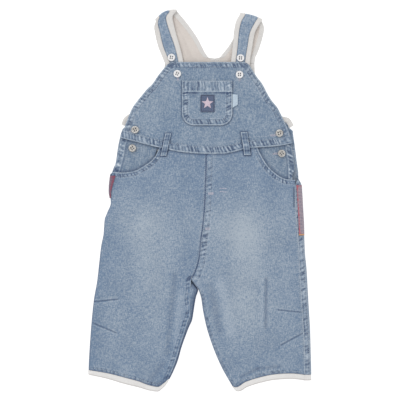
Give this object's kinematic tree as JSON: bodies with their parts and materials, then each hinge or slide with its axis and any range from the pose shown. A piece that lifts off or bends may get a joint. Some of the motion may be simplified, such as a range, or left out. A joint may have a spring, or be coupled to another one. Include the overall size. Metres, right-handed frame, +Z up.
{
  "type": "romper",
  "caption": "Child's light blue denim dungarees laid flat, with a bib, a bib pocket, scoop pockets, bound hems and shoulder straps folded over and buttoned onto the bib.",
  "frame": {"origin": "middle of the garment's outline, on the surface that it lies on", "axes": "+Z up from the surface towards the front of the garment, +Y towards the shoulders, +X to the right as seen from above"},
  "size_m": [0.3231, 0.5533, 0.0121],
  "materials": {
    "denim": "washed light blue denim",
    "bib_denim": "washed light blue denim, a little greyer",
    "facing_denim": "washed blue denim, darker inside the pockets",
    "jersey": "cream knitted jersey",
    "cuff": "white knitted jersey",
    "white": "glossy white plastic",
    "pearl": "glossy pearl plastic",
    "navy": "navy woven patch",
    "sky": "pale blue woven tab",
    "tape": "red and navy woven ribbon"
  },
  "bodies": {
    "root": {"armhole_binding_left": "jersey", "armhole_binding_right": "jersey", "back_bib": "denim", "back_leg_left": "denim", "back_leg_right": "denim", "back_lining": "jersey", "belt_loop_left": "denim", "belt_loop_right": "denim", "bib_front": "bib_denim", "bib_pocket": "bib_denim", "button_bib_left": "white", "button_bib_right": "white", "button_side_left_lower": "pearl", "button_side_left_upper": "pearl", "button_side_right_lower": "pearl", "button_side_right_upper": "pearl", "button_strap_left": "white", "button_strap_right": "white", "cuff_back_left": "cuff", "cuff_back_right": "cuff", "cuff_front_left": "cuff", "cuff_front_right": "cuff", "front_leg_left": "denim", "front_leg_right": "denim", "hip_facing_left": "facing_denim", "hip_facing_right": "facing_denim", "pocket_patch": "navy", "pocket_tab": "sky", "side_tape_left": "tape", "side_tape_right": "tape", "strap_binding_inner_left": "jersey", "strap_binding_inner_right": "jersey", "strap_binding_outer_left": "jersey", "strap_binding_outer_right": "jersey", "strap_left": "denim", "strap_lining_left": "jersey", "strap_lining_right": "jersey", "strap_right": "denim", "waist_band": "bib_denim"}
  },
  "joints": []
}
